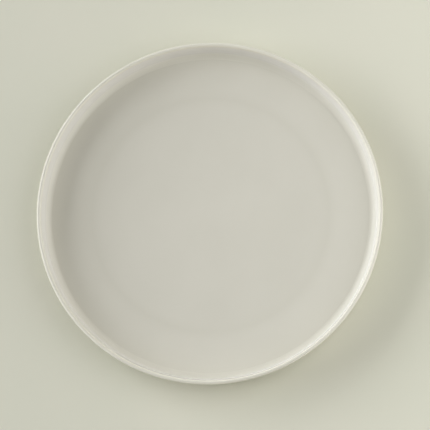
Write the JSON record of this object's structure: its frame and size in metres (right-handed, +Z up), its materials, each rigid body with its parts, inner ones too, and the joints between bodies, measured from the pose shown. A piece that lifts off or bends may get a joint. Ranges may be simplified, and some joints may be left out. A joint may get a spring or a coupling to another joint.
{
  "type": "serving plate",
  "caption": "Round ceramic serving plate with a flat well, a short upright wall that flares a little, a rounded lip and a glossy off-white glaze that stops at a bare foot ring.",
  "frame": {"origin": "middle of the foot ring's bearing plane, which is the surface that the plate stands on", "axes": "+Z up along the plate's axis of revolution, out of the face; +X and +Y lie in the plane of the table, with no preferred direction because the plate is round"},
  "size_m": [0.27, 0.27, 0.025],
  "materials": {
    "bare_clay": "matte",
    "glaze": "gloss"
  },
  "bodies": {
    "root": {"clay_body": "bare_clay", "face_glaze": "glaze", "underside_glaze": "glaze"}
  },
  "joints": []
}
